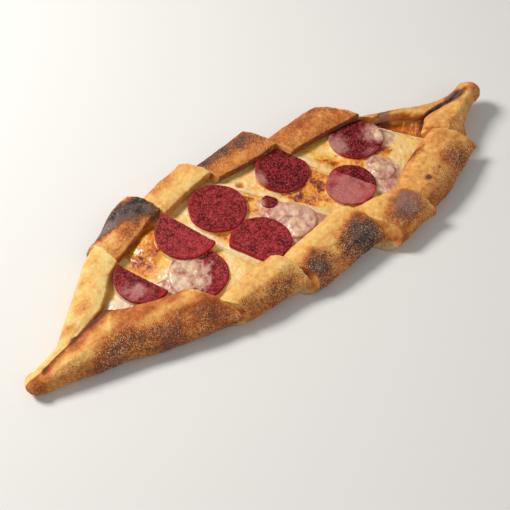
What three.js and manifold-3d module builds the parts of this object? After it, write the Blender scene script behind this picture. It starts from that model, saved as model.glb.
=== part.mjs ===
// Turkish pide: a boat-shaped flatbread with folded rims, a cheese filling and sausage slices,
// cut crosswise into six pieces that still lie in a row. Millimetres, +Z up.
// While it is built, x runs from the near tip to the far tip, +y is the left side and z = 0 is the table.
import * as THREE from "three";
import { mergeVertices } from "three/addons/utils/BufferGeometryUtils.js";
import Module from "manifold-3d";

const wasm = await Module();
wasm.setup();

// ---- Driving dimensions ----
const CLEARANCE = 0.35; // between neighbouring solids
const FLOOR = 5; // base dough under the filling
const STEPS = 8; // stretches between the two ends of a piece's crust
const FILLING_STEPS = 6; // and of its filling
const RIM_SAMPLES = 9; // points round the outside of one rim
const TOP_SAMPLES = 5; // points across the top of the filling
const SEAM = 0.4; // slit left where the two flaps meet
const CLOSED = 0.06; // how much of the hollow is left under a closed seam
const FILLING_LEVEL = 0.6; // top of the filling as a share of the crest height
const FILLING_TUCK = 1.5; // how far the visible top of the filling runs in under each flap
const FILLING_REACH = 0.15; // how near the uncut filling comes to the outside, as a share of a rim's width
const FILLING_SWELL = 0.6; // rise of the filling's middle above its edges
const KNOB_SIDES = [16, 10]; // round a knob, and from pole to pole
const BLOCK_REACH = 120; // half width and height of the blocks that trim each piece
const BLOCK_HEIGHT = 60;
const OVERRUN = 3; // how far a piece runs past its knife cuts before it is trimmed

// The five knife cuts: planes that cross the axis at x, run back towards the left side by slant mm per
// mm, and lean forward by lean mm per mm of height, so that each piece overhangs the next one. Past
// left.y and right.y, in the rims, the slant is that side's own.
const CUT_GAP = 0.8;
const CUT_LEAN_HEIGHT = 20; // height at which x holds
const CUTS = [
  { x: 106, slant: 0.48, lean: 0.36, left: { y: 24, slant: 0.22 }, right: { y: -20, slant: 0.69 } },
  { x: 164, slant: 0.4, lean: 0.5, left: { y: 30, slant: 0.5 }, right: { y: -34, slant: 0.62 } },
  { x: 224.5, slant: 0.6, lean: 0.55, left: { y: 40, slant: 0.66 }, right: { y: -36, slant: 0.6 } },
  { x: 269, slant: 0.45, lean: 0.36, left: { y: 32, slant: 0.5 }, right: { y: -46, slant: 0.62 } },
  { x: 337, slant: 0.67, lean: 0.3, left: { y: 28, slant: 0.8 }, right: { y: -18, slant: 0.9 } },
];
const NEAR_TIP = -1; // x of the upright end faces at the two tips
const FAR_TIP = 406;

// Each piece from its near end to its far end. Plain lists are evenly spaced values; pairs are
// [fraction of the length, value]. outer: widest reach of each side. lip: edge of each flap.
// crest: height of each rim. hollow: 1 where the piece is open, CLOSED where the flaps are pinched shut.
// lift: how far the underside is off the table. slab: how far the left rim is a flat-topped slab.
// wedge: how far the right rim slopes down to a sharp outer edge.
const OPEN = [1, 1];
const FLAT = [0, 0];
const WEDGE_AT_CUT = [[0, 0.15], [0.5, 0.3], [1, 0.85]];
const PIECES = [
  {
    name: "piece_1",
    outer: { left: [-3, 3, 22, 39, 54.5], right: [-17, -25, -34, -47, -59] },
    lip: {
      left: [[0, -8], [0.3, -3], [0.6, 3], [0.7, 9], [0.87, 22], [1, 29]],
      right: [[0, -8], [0.3, -3], [0.6, 3], [0.7, -2], [0.8, -10], [1, -20]],
    },
    crest: { left: [11, 16, 19, 21.5, 25.5], right: [12, 20, 23.5, 24, 26] },
    hollow: [[0, CLOSED], [0.58, CLOSED], [0.72, 1], [1, 1]],
    lift: [[0, 1.5], [0.25, 0], [1, 0]],
    slab: [[0, 0], [0.3, 0.3], [1, 0.6]],
    wedge: [[0, 0], [0.5, 0.2], [1, 0.85]],
    fillingSpan: [0.66, 1],
  },
  {
    name: "piece_2",
    outer: { left: [56, 63, 71.5, 77], right: [-61, -62, -63, -64.5] },
    lip: { left: [29.5, 35.5, 41.5, 47], right: [-38, -36, -34, -34] },
    crest: { left: [22, 24, 26], right: [22.5, 24.5, 26.5] },
    hollow: OPEN,
    lift: FLAT,
    slab: [0.3, 0.5],
    wedge: WEDGE_AT_CUT,
  },
  {
    name: "piece_3",
    outer: { left: [65.5, 69, 72, 75], right: [-72.5, -70.5, -69, -68] },
    lip: { left: [42.5, 46, 49, 51], right: [-40, -35, -33.5, -31] },
    crest: { left: [22, 24, 25.5], right: [22.5, 25, 26.5] },
    hollow: OPEN,
    lift: FLAT,
    slab: [0.8, 1],
    wedge: WEDGE_AT_CUT,
  },
  {
    name: "piece_4",
    outer: { left: [66.5, 68, 69, 70.5], right: [-81.5, -78, -76, -75.5] },
    lip: { left: [45, 42, 41, 41.5], right: [-36, -38.5, -41.5, -45] },
    crest: { left: [22, 24, 25.5], right: [23, 25, 26.5] },
    hollow: OPEN,
    lift: FLAT,
    slab: [1, 1],
    wedge: WEDGE_AT_CUT,
  },
  {
    name: "piece_5",
    outer: { left: [54, 55.5, 56.5, 55.5], right: [-73, -66, -57.5, -49] },
    lip: { left: [30.5, 29, 27.5, 25], right: [-44, -33, -25, -19] },
    crest: { left: [22, 23.5, 24.5], right: [22.5, 25.5, 25.5] },
    hollow: OPEN,
    lift: FLAT,
    slab: [1, 1],
    wedge: WEDGE_AT_CUT,
  },
  {
    name: "piece_6",
    outer: {
      left: [[0, 31], [0.3, 14], [0.5, 5], [0.75, 0], [1, 3]],
      right: [[0, -43], [0.3, -37], [0.6, -26], [0.8, -20], [1, -15]],
    },
    lip: {
      left: [[0, 13], [0.15, 5], [0.3, -5], [0.6, -8], [1, -5]],
      right: [[0, -16], [0.27, -6], [0.6, -8], [1, -5]],
    },
    crest: { left: [21, 21, 21, 18, 14], right: [21.5, 23.5, 24, 21, 16] },
    hollow: [[0, 1], [0.2, 1], [0.32, CLOSED], [1, CLOSED]],
    lift: [[0, 0], [0.55, 0], [1, 9]],
    slab: [0.7, 0.2, 0],
    wedge: [0.4, 0.1, 0],
    filling: 0.42, // its filling has slumped to this share of the crest height
    fillingSpan: [0, 0.27],
  },
];

// Pinched knobs of dough at the two tips: centre and half sizes.
const KNOBS = {
  piece_1: { centre: [1, -9.5, 7.6], half: [8, 8.6, 7.4] },
  piece_6: { centre: [407, -7, 16], half: [10, 9, 8.5] },
};

// Sausage slices. turn tips a slice up along x and roll tips it up along y, in degrees. cutBack: how
// far short of the piece's far cut a halved slice ends.
const SAUSAGE_THICKNESS = 3;
const SAUSAGE_EDGE = 0.7;
const SAUSAGE_SIDES = 26;
const SAUSAGES = [
  { name: "sausage_1", piece: 0, x: 101, y: 9, z: 17.4, radius: 21, turn: -3, roll: 5 },
  { name: "sausage_2", piece: 1, x: 147, y: 20, z: 20.5, radius: 23, turn: 1, roll: 5, cutBack: 5 },
  { name: "sausage_3", piece: 1, x: 134, y: -12, z: 15.4, radius: 21.5, turn: -1, roll: 0 },
  { name: "sausage_4", piece: 2, x: 179, y: 25, z: 17, radius: 22, turn: -3, roll: 2 },
  { name: "sausage_5", piece: 2, x: 185, y: -18, z: 16.6, radius: 23, turn: -2, roll: -3 },
  { name: "sausage_6", piece: 2, x: 216, y: -17, z: 15.6, radius: 17, turn: 0, roll: 0 },
  { name: "sausage_7", piece: 2, x: 213, y: 7, z: 15.8, radius: 6, turn: 0, roll: 0 },
  { name: "sausage_8", piece: 3, x: 238.5, y: 23, z: 17, radius: 20.8, turn: -3, roll: 3 },
  { name: "sausage_9", piece: 3, x: 269.5, y: -20, z: 17.4, radius: 19, turn: 2, roll: 0 },
  { name: "sausage_10", piece: 4, x: 270.5, y: -19, z: 15.8, radius: 19.5, turn: 0, roll: 0 },
  { name: "sausage_11", piece: 4, x: 304, y: 13, z: 16, radius: 21, turn: 0, roll: -2 },
  { name: "sausage_12", piece: 4, x: 299, y: -23, z: 15, radius: 9, turn: 0, roll: 0 },
];

// ---- Materials ----
const crustMaterial = new THREE.MeshStandardMaterial({ color: 0xd99a52, roughness: 0.7, metalness: 0 });
const cheeseMaterial = new THREE.MeshStandardMaterial({ color: 0xefd58a, roughness: 0.4, metalness: 0 });
const sausageMaterial = new THREE.MeshStandardMaterial({ color: 0x9c2a38, roughness: 0.45, metalness: 0 });

// ---- Small helpers ----
const mix = THREE.MathUtils.lerp;

// The value at fraction s of a list of evenly spaced values or of [fraction, value] pairs.
function along(list, s) {
  const pairs = list.map((entry, i) => (Array.isArray(entry) ? entry : [i / (list.length - 1), entry]));
  const next = Math.max(1, pairs.findIndex(([at]) => at >= s - 1e-9));
  const [a, b] = [pairs[next - 1], pairs[next]];
  return mix(a[1], b[1], (s - a[0]) / (b[0] - a[0]));
}

// Where a cut is, for a given y and z.
function cutAt({ x, slant, lean, left, right }, y, z) {
  const pastLeft = Math.max(0, y - left.y) * (left.slant - slant);
  const pastRight = Math.min(0, y - right.y) * (right.slant - slant);
  return x - slant * y - pastLeft - pastRight + lean * (z - CUT_LEAN_HEIGHT);
}

// The two end surfaces of piece number i, drawn in by half the gap between pieces and by inset.
function endsOf(i, inset = 0) {
  const half = CUT_GAP / 2 + inset;
  const near = i === 0 ? NEAR_TIP : CUTS[i - 1];
  const far = i === PIECES.length - 1 ? FAR_TIP : CUTS[i];
  const nearAt = (y, z) => (near === NEAR_TIP ? near + inset : cutAt(near, y, z) + half);
  const farAt = (y, z) => (far === FAR_TIP ? far - inset : cutAt(far, y, z) - half);
  return { nearAt, farAt };
}

// A closed body through cross-sections of [y, z] points, all with the same number of points in
// anticlockwise order seen from the far end. The two end faces are triangulated in the section's plane.
// overrun moves each end section outwards.
function loft(sections, ends, overrun = [0, 0]) {
  const count = sections[0].length;
  const last = sections.length - 1;
  const outwards = (k) => (k === 0 ? -overrun[0] : k === last ? overrun[1] : 0);
  const positions = sections.flatMap((points, k) =>
    points.flatMap(([y, z]) => [mix(ends.nearAt(y, z), ends.farAt(y, z), k / last) + outwards(k), y, z]),
  );
  const index = [];
  for (let k = 0; k < last; k++)
    for (let i = 0; i < count; i++) {
      const j = (i + 1) % count;
      const [a, b] = [k * count + i, k * count + j];
      index.push(a, b, a + count, b, b + count, a + count);
    }
  for (const k of [0, last]) {
    const outline = sections[k].map(([y, z]) => new THREE.Vector2(y, z));
    for (const [a, b, c] of THREE.ShapeUtils.triangulateShape(outline, [])) {
      const shift = k * count;
      index.push(...(k === 0 ? [c, b, a] : [a, b, c]).map((v) => v + shift));
    }
  }
  const geometry = new THREE.BufferGeometry();
  geometry.setAttribute("position", new THREE.Float32BufferAttribute(positions, 3));
  geometry.setIndex(index);
  return geometry;
}

// ---- Solids made with booleans ----
function solidOf(geometry) {
  const bare = geometry.clone();
  bare.deleteAttribute("normal");
  bare.deleteAttribute("uv");
  const merged = mergeVertices(bare, 1e-4);
  return new wasm.Manifold(
    new wasm.Mesh({
      numProp: 3,
      vertProperties: new Float32Array(merged.attributes.position.array),
      triVerts: new Uint32Array(merged.index.array),
    }),
  );
}

// The largest body of a solid, without the crumbs that a cut leaves.
function largest(solid) {
  return solid.decompose().reduce((a, b) => (a.volume() > b.volume() ? a : b));
}

function geometryOf(solid) {
  const mesh = solid.getMesh();
  const geometry = new THREE.BufferGeometry();
  const positions = [];
  for (let v = 0; v < mesh.numVert; v++) {
    const start = v * mesh.numProp;
    positions.push(...mesh.vertProperties.slice(start, start + 3));
  }
  geometry.setAttribute("position", new THREE.Float32BufferAttribute(positions, 3));
  geometry.setIndex([...mesh.triVerts]);
  return geometry;
}

// ---- Cross-section of the crust ----
// One side of a piece at fraction s of its length; side is 1 for left and -1 for right, and grow
// swells the dough all round, for trimming what lies against it.
function sideOf(piece, s, side, grow = 0) {
  const key = side > 0 ? "left" : "right";
  const outer = along(piece.outer[key], s) + side * grow;
  const lip = along(piece.lip[key], s) + side * (SEAM / 2 - grow);
  const crest = along(piece.crest[key], s) + grow;
  const sharpness = along(side > 0 ? piece.slab : piece.wedge, s);
  return { side, outer, lip, crest, grow, width: side * (outer - lip), sharpness };
}

// Three outlines of a rim, from its foot on the table over the crest to the underside of the flap's
// edge. Each point is [mm inwards, share of the width inwards, share of the crest height].
const ROUND = [
  [6, 0, 0],
  [1.8, 0, 0.13],
  [0, 0, 0.36],
  [1.6, 0, 0.62],
  [0, 0.2, 0.86],
  [0, 0.42, 1],
  [0, 0.75, 0.97],
  [-1.4, 1, 0.88],
  [0, 1, 0.76],
  [-1.6, 1, 0.64],
];
const SLAB = [
  [5, 0, 0],
  [1.4, 0, 0.15],
  [0, 0, 0.46],
  [0.4, 0, 0.76],
  [1, 0.03, 0.93],
  [0, 0.3, 1],
  [0, 0.72, 0.985],
  [-1, 1, 0.92],
  [0, 1, 0.78],
  [-1.6, 1, 0.64],
];
const WEDGE = [
  [8, 0, 0],
  [3.6, 0, 0.16],
  [0, 0, 0.47],
  [0.8, 0.02, 0.56],
  [0, 0.28, 0.76],
  [0, 0.55, 0.93],
  [0, 0.82, 1],
  [-1.2, 1, 0.92],
  [0, 1, 0.79],
  [-1.6, 1, 0.64],
];

// Outside of one rim: its outline between round and its side's sharper one.
function rimOutside({ side, outer, crest, grow, width, sharpness }) {
  const small = Math.min(1, width / 24);
  const sharp = side > 0 ? SLAB : WEDGE;
  const shape = ROUND.map((round, k) => {
    const [inwards, share, height] = round.map((value, axis) => mix(value, sharp[k][axis], sharpness));
    return [inwards * small + share * width, height * crest];
  });
  shape.at(-1)[1] -= 2 * grow;
  const curve = new THREE.SplineCurve(shape.map(([u, z]) => new THREE.Vector2(outer - side * u, z)));
  return curve.getPoints(RIM_SAMPLES).map((p) => [p.x, Math.max(0, p.y)]);
}

// Hollow under one flap, from behind the flap's edge outwards and down to the floor.
function rimInside({ side, outer, lip, crest, grow, width }) {
  const wall = outer - side * (0.3 * width + grow);
  return [
    [lip + side * 0.35 * width, 0.6 * crest - 2 * grow],
    [wall, 0.54 * crest - 2 * grow],
    [wall, 0.3 * crest + grow],
    [wall - 2 * side, FLOOR + grow],
  ];
}

// Whole cross-section of a piece's crust at fraction s, anticlockwise from the left foot.
function crustSection(piece, s, grow) {
  const open = along(piece.hollow, s);
  const lift = along(piece.lift, s);
  const [left, right] = [1, -1].map((side) => sideOf(piece, s, side, grow));
  const leftOutside = rimOutside(left);
  const rightOutside = rimOutside(right).reverse();
  const pinch = [(left.lip + right.lip) / 2, leftOutside.at(-1)[1] - 0.5];
  const hollow = [...rimInside(left), ...rimInside(right).reverse()];
  const narrowed = hollow.map(([y, z]) => [mix(pinch[0], y, open), mix(pinch[1], z, open)]);
  return [...leftOutside, ...narrowed, ...rightOutside].map(([y, z]) => [y, z + lift]);
}

function crustSolid(i, grow = 0) {
  const piece = PIECES[i];
  const sections = [];
  for (let k = 0; k <= STEPS; k++) sections.push(crustSection(piece, k / STEPS, grow));
  const overrun = [i === 0 ? 0 : OVERRUN, i === PIECES.length - 1 ? 0 : OVERRUN];
  let body = solidOf(loft(sections, endsOf(i, -grow), overrun));
  if (!grow) body = largest(body.intersect(blockBetweenEnds(i)));
  const knob = KNOBS[piece.name];
  if (!knob) return body;
  const ball = new THREE.SphereGeometry(1, ...KNOB_SIDES);
  ball.scale(...knob.half);
  ball.translate(...knob.centre);
  return body.add(solidOf(ball));
}

// ---- Filling ----
// Lumps of melted cheese: a slow swell and a shorter one, in mm above the mean.
const lumps = (x, y) => 0.7 * Math.sin(x / 9 + y / 14) + 0.6 * Math.sin(x / 15 - y / 7);

// Cross-section of the filling at fraction s: it runs out into the dough all round, and the swollen
// crust is cut away from it afterwards.
function fillingSection(piece, s, ends) {
  const [left, right] = [1, -1].map((side) => sideOf(piece, s, side));
  const level = piece.filling ?? FILLING_LEVEL;
  const outerPoint = (rim) => rim.outer - rim.side * FILLING_REACH * rim.width;
  const topAt = (rim) => rim.crest * level - CLEARANCE;
  const top = [];
  for (let t = 0; t <= TOP_SAMPLES; t++) {
    const across = t / TOP_SAMPLES;
    const y = mix(left.lip + FILLING_TUCK, right.lip - FILLING_TUCK, across);
    const z = mix(topAt(left), topAt(right), across);
    const x = mix(ends.nearAt(y, z), ends.farAt(y, z), s);
    top.push([y, z + Math.sin(Math.PI * across) * (FILLING_SWELL + lumps(x, y))]);
  }
  return [
    [outerPoint(right), FLOOR - 1],
    [outerPoint(left), FLOOR - 1],
    [outerPoint(left), topAt(left)],
    ...top,
    [outerPoint(right), topAt(right)],
  ];
}

function fillingSolid(i, crustRoom) {
  const piece = PIECES[i];
  const [from, to] = piece.fillingSpan ?? [0, 1];
  const whole = endsOf(i);
  const part = (s) => (y, z) => mix(whole.nearAt(y, z), whole.farAt(y, z), s);
  const sections = [];
  for (let k = 0; k <= FILLING_STEPS; k++) {
    sections.push(fillingSection(piece, mix(from, to, k / FILLING_STEPS), whole));
  }
  const overrun = [from === 0 ? OVERRUN : 0, to === 1 ? OVERRUN : 0];
  const poured = solidOf(loft(sections, { nearAt: part(from), farAt: part(to) }, overrun));
  return largest(poured.intersect(blockBetweenEnds(i)).subtract(crustRoom));
}

// ---- Sausage slices ----
// A disc with rounded edges, tilted and set in place, thicker and wider all round by grow.
function disc(slice, grow = 0) {
  const radius = slice.radius + grow;
  const half = SAUSAGE_THICKNESS / 2 + grow;
  const profile = [
    new THREE.Vector2(0, -half),
    new THREE.Vector2(radius - SAUSAGE_EDGE, -half),
    new THREE.Vector2(radius, -half + SAUSAGE_EDGE),
    new THREE.Vector2(radius, half - SAUSAGE_EDGE),
    new THREE.Vector2(radius - SAUSAGE_EDGE, half),
    new THREE.Vector2(0, half),
  ];
  const geometry = new THREE.LatheGeometry(profile, SAUSAGE_SIDES);
  geometry.rotateX(Math.PI / 2);
  geometry.rotateY(THREE.MathUtils.degToRad(-slice.turn));
  geometry.rotateX(THREE.MathUtils.degToRad(slice.roll));
  geometry.translate(slice.x, slice.y, slice.z);
  return solidOf(geometry);
}

// The block of space between the two ends of a piece, taller and wider than the pide, ending cutBack
// short of the far end. It is joined from strips, in each of which both ends are flat.
function blockBetweenEnds(i, cutBack = 0) {
  const { nearAt, farAt } = endsOf(i);
  const ends = { nearAt, farAt: (y, z) => farAt(y, z) - cutBack };
  const bends = CUTS.slice(Math.max(0, i - 1), i + 1).flatMap((cut) => [cut.left.y, cut.right.y]);
  const edges = [-BLOCK_REACH, ...new Set(bends), BLOCK_REACH].sort((a, b) => a - b);
  const strips = edges.slice(1).map((left, k) => {
    const right = edges[k];
    const outline = [
      [left, -1],
      [left, BLOCK_HEIGHT],
      [right, BLOCK_HEIGHT],
      [right, -1],
    ];
    return solidOf(loft([outline, outline], ends));
  });
  return strips.reduce((whole, strip) => whole.add(strip));
}

// ---- Assembly ----
const pide = new THREE.Group();

function addMesh(name, solid, material) {
  const mesh = new THREE.Mesh(geometryOf(solid), material);
  mesh.geometry.computeVertexNormals();
  mesh.name = name;
  pide.add(mesh);
}

PIECES.forEach((piece, i) => {
  addMesh(piece.name + "_crust", crustSolid(i), crustMaterial);
  const crustRoom = crustSolid(i, CLEARANCE);
  let filling = fillingSolid(i, crustRoom);
  let above = null;
  const own = SAUSAGES.filter((slice) => slice.piece === i);
  for (const slice of own) {
    const block = blockBetweenEnds(i, slice.cutBack);
    let cut = disc(slice).intersect(block).subtract(crustRoom);
    if (above) cut = cut.subtract(above);
    cut = largest(cut);
    const room = disc(slice, CLEARANCE);
    filling = filling.subtract(room);
    above = above ? above.add(room) : room;
    addMesh(slice.name, cut, sausageMaterial);
  }
  addMesh(piece.name + "_filling", largest(filling), cheeseMaterial);
});

// The origin is under the middle of the pide's box, on the table.
const box = new THREE.Box3().setFromObject(pide);
const middle = box.getCenter(new THREE.Vector3());
for (const mesh of pide.children) mesh.geometry.translate(-middle.x, -middle.y, -box.min.z);

export default pide;
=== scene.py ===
"""A Turkish pide: baked crust in six cut pieces, melted cheese, sausage slices and semolina grains."""

import math
from types import SimpleNamespace

import bmesh
import bpy
import numpy as np
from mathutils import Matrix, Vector
from mathutils.bvhtree import BVHTree


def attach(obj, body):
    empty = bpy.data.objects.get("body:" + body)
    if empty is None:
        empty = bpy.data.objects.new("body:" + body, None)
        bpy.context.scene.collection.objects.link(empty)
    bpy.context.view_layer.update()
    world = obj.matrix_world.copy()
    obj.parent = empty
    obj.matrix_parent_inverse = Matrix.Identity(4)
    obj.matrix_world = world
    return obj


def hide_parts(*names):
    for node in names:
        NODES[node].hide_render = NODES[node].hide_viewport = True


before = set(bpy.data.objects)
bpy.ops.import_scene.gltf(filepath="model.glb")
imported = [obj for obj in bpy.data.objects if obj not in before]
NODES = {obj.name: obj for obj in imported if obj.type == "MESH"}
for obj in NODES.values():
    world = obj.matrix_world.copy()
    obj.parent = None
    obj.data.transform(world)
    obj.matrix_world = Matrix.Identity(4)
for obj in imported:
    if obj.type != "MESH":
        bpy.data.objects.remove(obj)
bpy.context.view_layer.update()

# ---- Driving values; lengths in millimetres unless they end in _M ----
MM = 0.001
CRUST_VOXEL = 0.75
CHEESE_VOXEL = 0.65
SAUSAGE_VOXEL = 0.5
PIECES = range(1, 7)
LAST = 6
SLICES = range(1, 13)
SAUSAGES_ON = {1: (1,), 2: (2, 3), 3: (4, 5, 6, 7), 4: (8, 9), 5: (10, 11, 12), 6: ()}
SEED = 7
OUT_OF_REACH = 99.0  # stands for the distance to a cut or slice that isn't there

# The five knife cuts, as in the CAD source: x where each crosses the axis, its slant towards the left,
# its lean with height, and where each rim's own slant starts.
ORIGIN = (205.0, -2.37)
LEAN_HEIGHT = 20
CUTS = [
    {"x": 106, "slant": 0.48, "lean": 0.36, "left": (24, 0.22), "right": (-20, 0.69)},
    {"x": 164, "slant": 0.4, "lean": 0.5, "left": (30, 0.5), "right": (-34, 0.62)},
    {"x": 224.5, "slant": 0.6, "lean": 0.55, "left": (40, 0.66), "right": (-36, 0.6)},
    {"x": 269, "slant": 0.45, "lean": 0.36, "left": (32, 0.5), "right": (-46, 0.62)},
    {"x": 337, "slant": 0.67, "lean": 0.3, "left": (28, 0.8), "right": (-18, 0.9)},
]

RIM_EDGE_HEIGHT = 14  # where a right rim juts out furthest
FLAP_FOOT = 9  # the dough above this is a flap or a rim
CHEESE_FOOT = 8.5  # the cheese above this lies open
SLICE_APRON = 6.0  # how far from a slice the cheese over it slopes down
OVERHEAD_M = 0.06  # a height clear of everything, from which rays look down

# The line where the two flaps meet or would meet, as x and y.
MIDLINE_X = (-204, -175, -145, -60, 60, 120, 150, 205)
MIDLINE_Y = (-6, -1, 5, 6, 2, 4, -4, -3)

# Browning of the rims: at the flap's edge, and how much is added towards the outside.
LEFT_TONE = {
    1: (0.06, 0.1),
    2: (0.3, 0.1),
    3: (0.14, 0.12),
    4: (0.42, 0.2),
    5: (0.42, 0.08),
    6: (0.2, 0.14),
}
RIGHT_TONE = {
    1: (0.46, 0.1),
    2: (0.18, 0.16),
    3: (0.19, 0.27),
    4: (0.22, 0.24),
    5: (0.27, 0.29),
    6: (0.26, 0.12),
}
LEFT_GRAIN = {1: 0.15, 2: 0.35, 3: 0.3, 4: 0.5, 5: 0.35, 6: 0.2}

# Baked patches on the crust: x, y, radius along x, radius along y, depth of browning.
BAKED = {
    1: [
        (-138, -25, 18, 8, 0.12),
        (-114, -37, 14, 8, 0.13),
        (-157, -24, 12, 7, 0.1),
        (-86, -41, 15, 9, 0.12),
        (-150, 17, 9, 6, 0.2),
        (-169, 9, 9, 4, 0.2),
        (-137, 33, 8, 5, 0.14),
        (-126, 43, 6, 4, 0.12),
        (-112, 44, 9, 9, -0.08),
        (-118, -22, 14, 5, -0.2),
        (-90, -24, 15, 5, -0.22),
        (-150, -9, 12, 5, -0.24),
        (-178, -15, 24, 8, -0.26),
        (-205, -14, 5, 5, 0.06),
    ],
    2: [
        (-72, 60, 14, 15, 0.64),
        (-88, 65, 13, 11, 0.62),
        (-106, 62, 13, 8, 0.5),
        (-90, 48, 12, 5, 0.22),
        (-104, 50, 8, 4, -0.12),
        (-33, -55, 14, 8, 0.3),
        (-58, -54, 13, 7, 0.14),
    ],
    3: [
        (-48, 68, 20, 6, 0.12),
        (-4, -57, 17, 12, 0.52),
        (39, -57, 23, 14, 0.58),
        (18, -46, 12, 4, 0.08),
    ],
    4: [
        (26, 62, 13, 6, 0.16),
        (0, 65, 14, 6, 0.18),
        (14, 52, 9, 4, -0.08),
        (81, -59, 16, 12, 0.42),
        (60, -62, 12, 8, 0.1),
    ],
    5: [
        (70, 50, 12, 5, 0.08),
        (95, 46, 9, 4, -0.08),
        (111, -51, 3, 2.4, 0.5),
        (124, -49, 2, 1.6, 0.4),
        (142, -46, 14, 9, 0.24),
        (140, -30, 12, 6, 0.1),
        (111, -31.5, 6, 3.2, 0.16),
        (121, -28.5, 8, 3.4, 0.18),
    ],
    6: [
        (130, 18, 10, 4, 0.4),
        (158, -2.5, 8, 2.2, 0.5),
        (168, -3, 9, 2.4, 0.6),
        (186, -4, 12, 4.6, 0.66),
        (203, -10, 6, 7, 0.2),
        (165, -22, 9, 4, 0.14),
        (150, -18, 8, 4, 0.1),
    ],
}

# Raised folds where a flap's edge is pressed down: start, end, width, height and browning.
FOLDS = {
    1: [
        ((-196, -6), (-169, 0), 2.4, 1.7, 0.28),
        ((-169, 0), (-142, 3), 2.2, 1.6, 0.26),
        ((-142, 3), (-131, 5), 2.2, 1.2, 0.24),
        ((-147, -13), (-140, 1), 2.2, 1.0, -0.1),
        ((-131, 7), (-119, 24), 1.8, 0.9, 0.24),
        ((-119, 24), (-108, 33), 1.8, 0.7, 0.2),
    ],
    5: [((104, -31), (130, -26), 1.2, 0.6, 0.2)],
    6: [((140, -2), (196, -6), 2.6, 1.2, 0.1), ((146, -14), (158, -26), 1.8, 0.9, 0.1)],
}

# Pale ash over the burnt dough: x, y, radius along x, radius along y, strength.
ASH = {
    2: [(-104, 61, 10, 5, 0.8), (-84, 66, 6, 5, 0.3)],
    3: [(39, -57, 8, 6, 0.3), (-4, -58, 5, 4, 0.2)],
    4: [(82, -58, 13, 9, 0.95)],
    6: [(129, 17, 8, 3, 0.8), (184, -2, 6, 2, 0.5)],
}

FLARE = {1: 1.8, 2: 2.0, 3: 1.6, 4: 1.4, 5: 0.0, 6: 0.0}  # how far each right rim's far corner juts out

# Golden patches in the cheese: x, y, radius, depth.
GOLDEN = [
    (-84, 33, 18, 1.2),
    (-94, 20, 12, 0.7),
    (-97, 24, 10, 0.8),
    (-57, -4, 10, 0.8),
    (-40, 7, 9, 0.7),
    (3, 20, 14, 0.8),
    (36, 2, 25, 1.2),
    (14, 0, 17, 0.9),
    (30, -14, 10, 0.7),
    (62, 13, 15, 0.8),
    (98, -1, 15, 0.6),
    (90, 5, 11, 0.7),
    (108, -3, 9, 0.6),
    (90, -10, 9, 0.5),
    (72, 32, 12, 0.5),
    (48, -38, 8, 0.4),
]

# Orange to brown blisters in the cheese: x, y, radius, depth.
BLISTERS = [
    (-98, 24, 6, 0.65),
    (-91, 15, 6, 0.45),
    (-80, 24, 5, 0.5),
    (-77, 45, 5, 0.3),
    (-57, -5, 8, 0.85),
    (-40, 7, 6, 0.7),
    (-47, 16, 4, 0.4),
    (1, 26, 8, 0.9),
    (8, 16, 8, 0.85),
    (-3, 9, 9, 0.95),
    (8, 0, 10, 0.95),
    (23, -5, 9, 0.95),
    (34, -13, 8, 0.85),
    (43, 8, 8, 0.85),
    (32, 6, 7, 0.6),
    (46, -4, 6, 0.6),
    (62, 14, 5.5, 0.95),
    (70, 9, 5.5, 0.9),
    (77, 5, 5, 0.8),
    (85, 9, 5, 0.85),
    (89, 4, 5.5, 0.95),
    (97, 3, 5, 0.9),
    (103, -1, 5, 0.9),
    (110, -6, 5, 0.9),
    (83, -5, 5.5, 0.9),
    (90, -12, 6, 0.95),
    (97, -18, 4, 0.7),
    (27, 5, 5, 0.6),
    (33, 10, 4, 0.6),
    (48, -4, 6, 0.8),
    (46, -14, 4, 0.5),
    (52, -37, 6, 0.6),
    (118, -20, 3, 0.3),
]

# Places where sausage juice tints the cheese pink: x, y, radius, depth.
PINK = [
    (17, 26, 7, 0.7),
    (20, 36, 6, 0.5),
    (57, 4, 4, 0.4),
    (-95, 12, 6, 0.3),
    (-89, -12, 8, 0.55),
    (-74, -2, 8, 0.5),
    (-84, -1, 6, 0.4),
    (10, -21, 7, 0.6),
    (24, -19, 7, 0.65),
    (84, -25, 8, 0.8),
    (83, -34, 7, 0.7),
    (92, -31, 6, 0.6),
    (4, 10, 4, 0.5),
    (-122, 6, 6, 0.3),
    (117, 7, 8, 0.5),
    (93, -26, 9, 0.5),
]

# White lumps of cheese: x, y, radius, height.
WHITE = [
    (-126, 5, 8, 1.2),
    (-133, 10, 6, 0.8),
    (-81, -6, 14, 0.9),
    (3, -10, 8, 1.2),
    (14, -14, 7, 1.0),
    (20, 36, 7, 0.8),
    (88, -31, 8, 1.3),
    (95, -21, 11, 0.7),
    (20, -18, 9, 1.0),
    (118, 5, 8, 0.5),
    (2, 12, 4, 0.7),
]

# Glossy bubbles: x, y, radius, height.
BUBBLES = [
    (-84, 33, 14, 3.6),
    (32, 6, 6, 1.0),
    (41, 0, 5, 0.9),
    (22, 2, 5, 0.8),
    (66, 12, 5, 0.8),
    (92, -9, 5, 0.8),
]

PIT = (2, 36, 3.2)  # a small burnt hole: x, y, radius

HOLLOW_WIDENING = 4.0  # how far the last piece's left flap is drawn back from the fifth cut

# Strings of cheese across the fifth cut: start, end, thickness.
STRINGS = [
    ((133, -1, 14.2), (141, 5, 16), 0.3),
    ((136, -5.5, 14.2), (144, -1, 17), 0.4),
    ((139, -10, 14.2), (147, -2, 17), 0.32),
]
STRING_SAG = 0.8
STRING_SIDES = 8
STRING_STEPS = 8
STRING_COLOURING = {"level": 0.46, "white": 0.06, "pink": 0.1, "bubbly": 0.0}

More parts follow.
